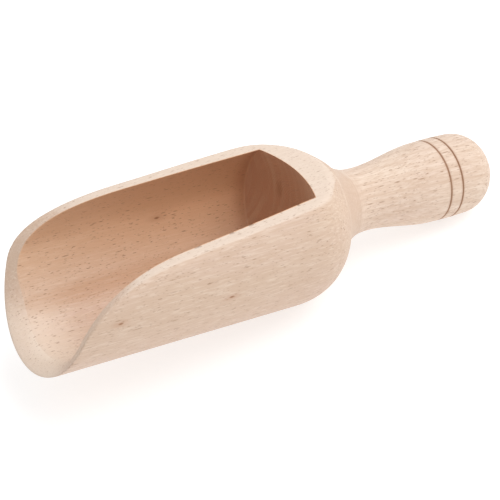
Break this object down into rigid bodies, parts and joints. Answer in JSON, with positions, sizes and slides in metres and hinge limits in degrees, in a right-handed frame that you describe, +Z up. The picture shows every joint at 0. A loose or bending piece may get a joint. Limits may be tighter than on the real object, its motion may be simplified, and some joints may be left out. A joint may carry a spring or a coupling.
{
  "type": "turned wooden scoop",
  "caption": "Hand scoop turned from beech: round bored bowl with an oblique open mouth and thin lip, and a waisted handle with two turned grooves and a round end.",
  "frame": {"origin": "bottom centre of the bounding box of the scoop at rest on its shoulder and the belly of its handle", "axes": "+X from the lip of the bowl to the end of the handle, +Z up; the turning axis falls 11 degrees towards +X"},
  "size_m": [0.227, 0.072, 0.064],
  "materials": {
    "bowl_wood": "fine sanded, untreated satin",
    "handle_wood": "fine sanded, untreated satin"
  },
  "bodies": {
    "root": {"bowl": "bowl_wood", "handle": "handle_wood"}
  },
  "joints": []
}
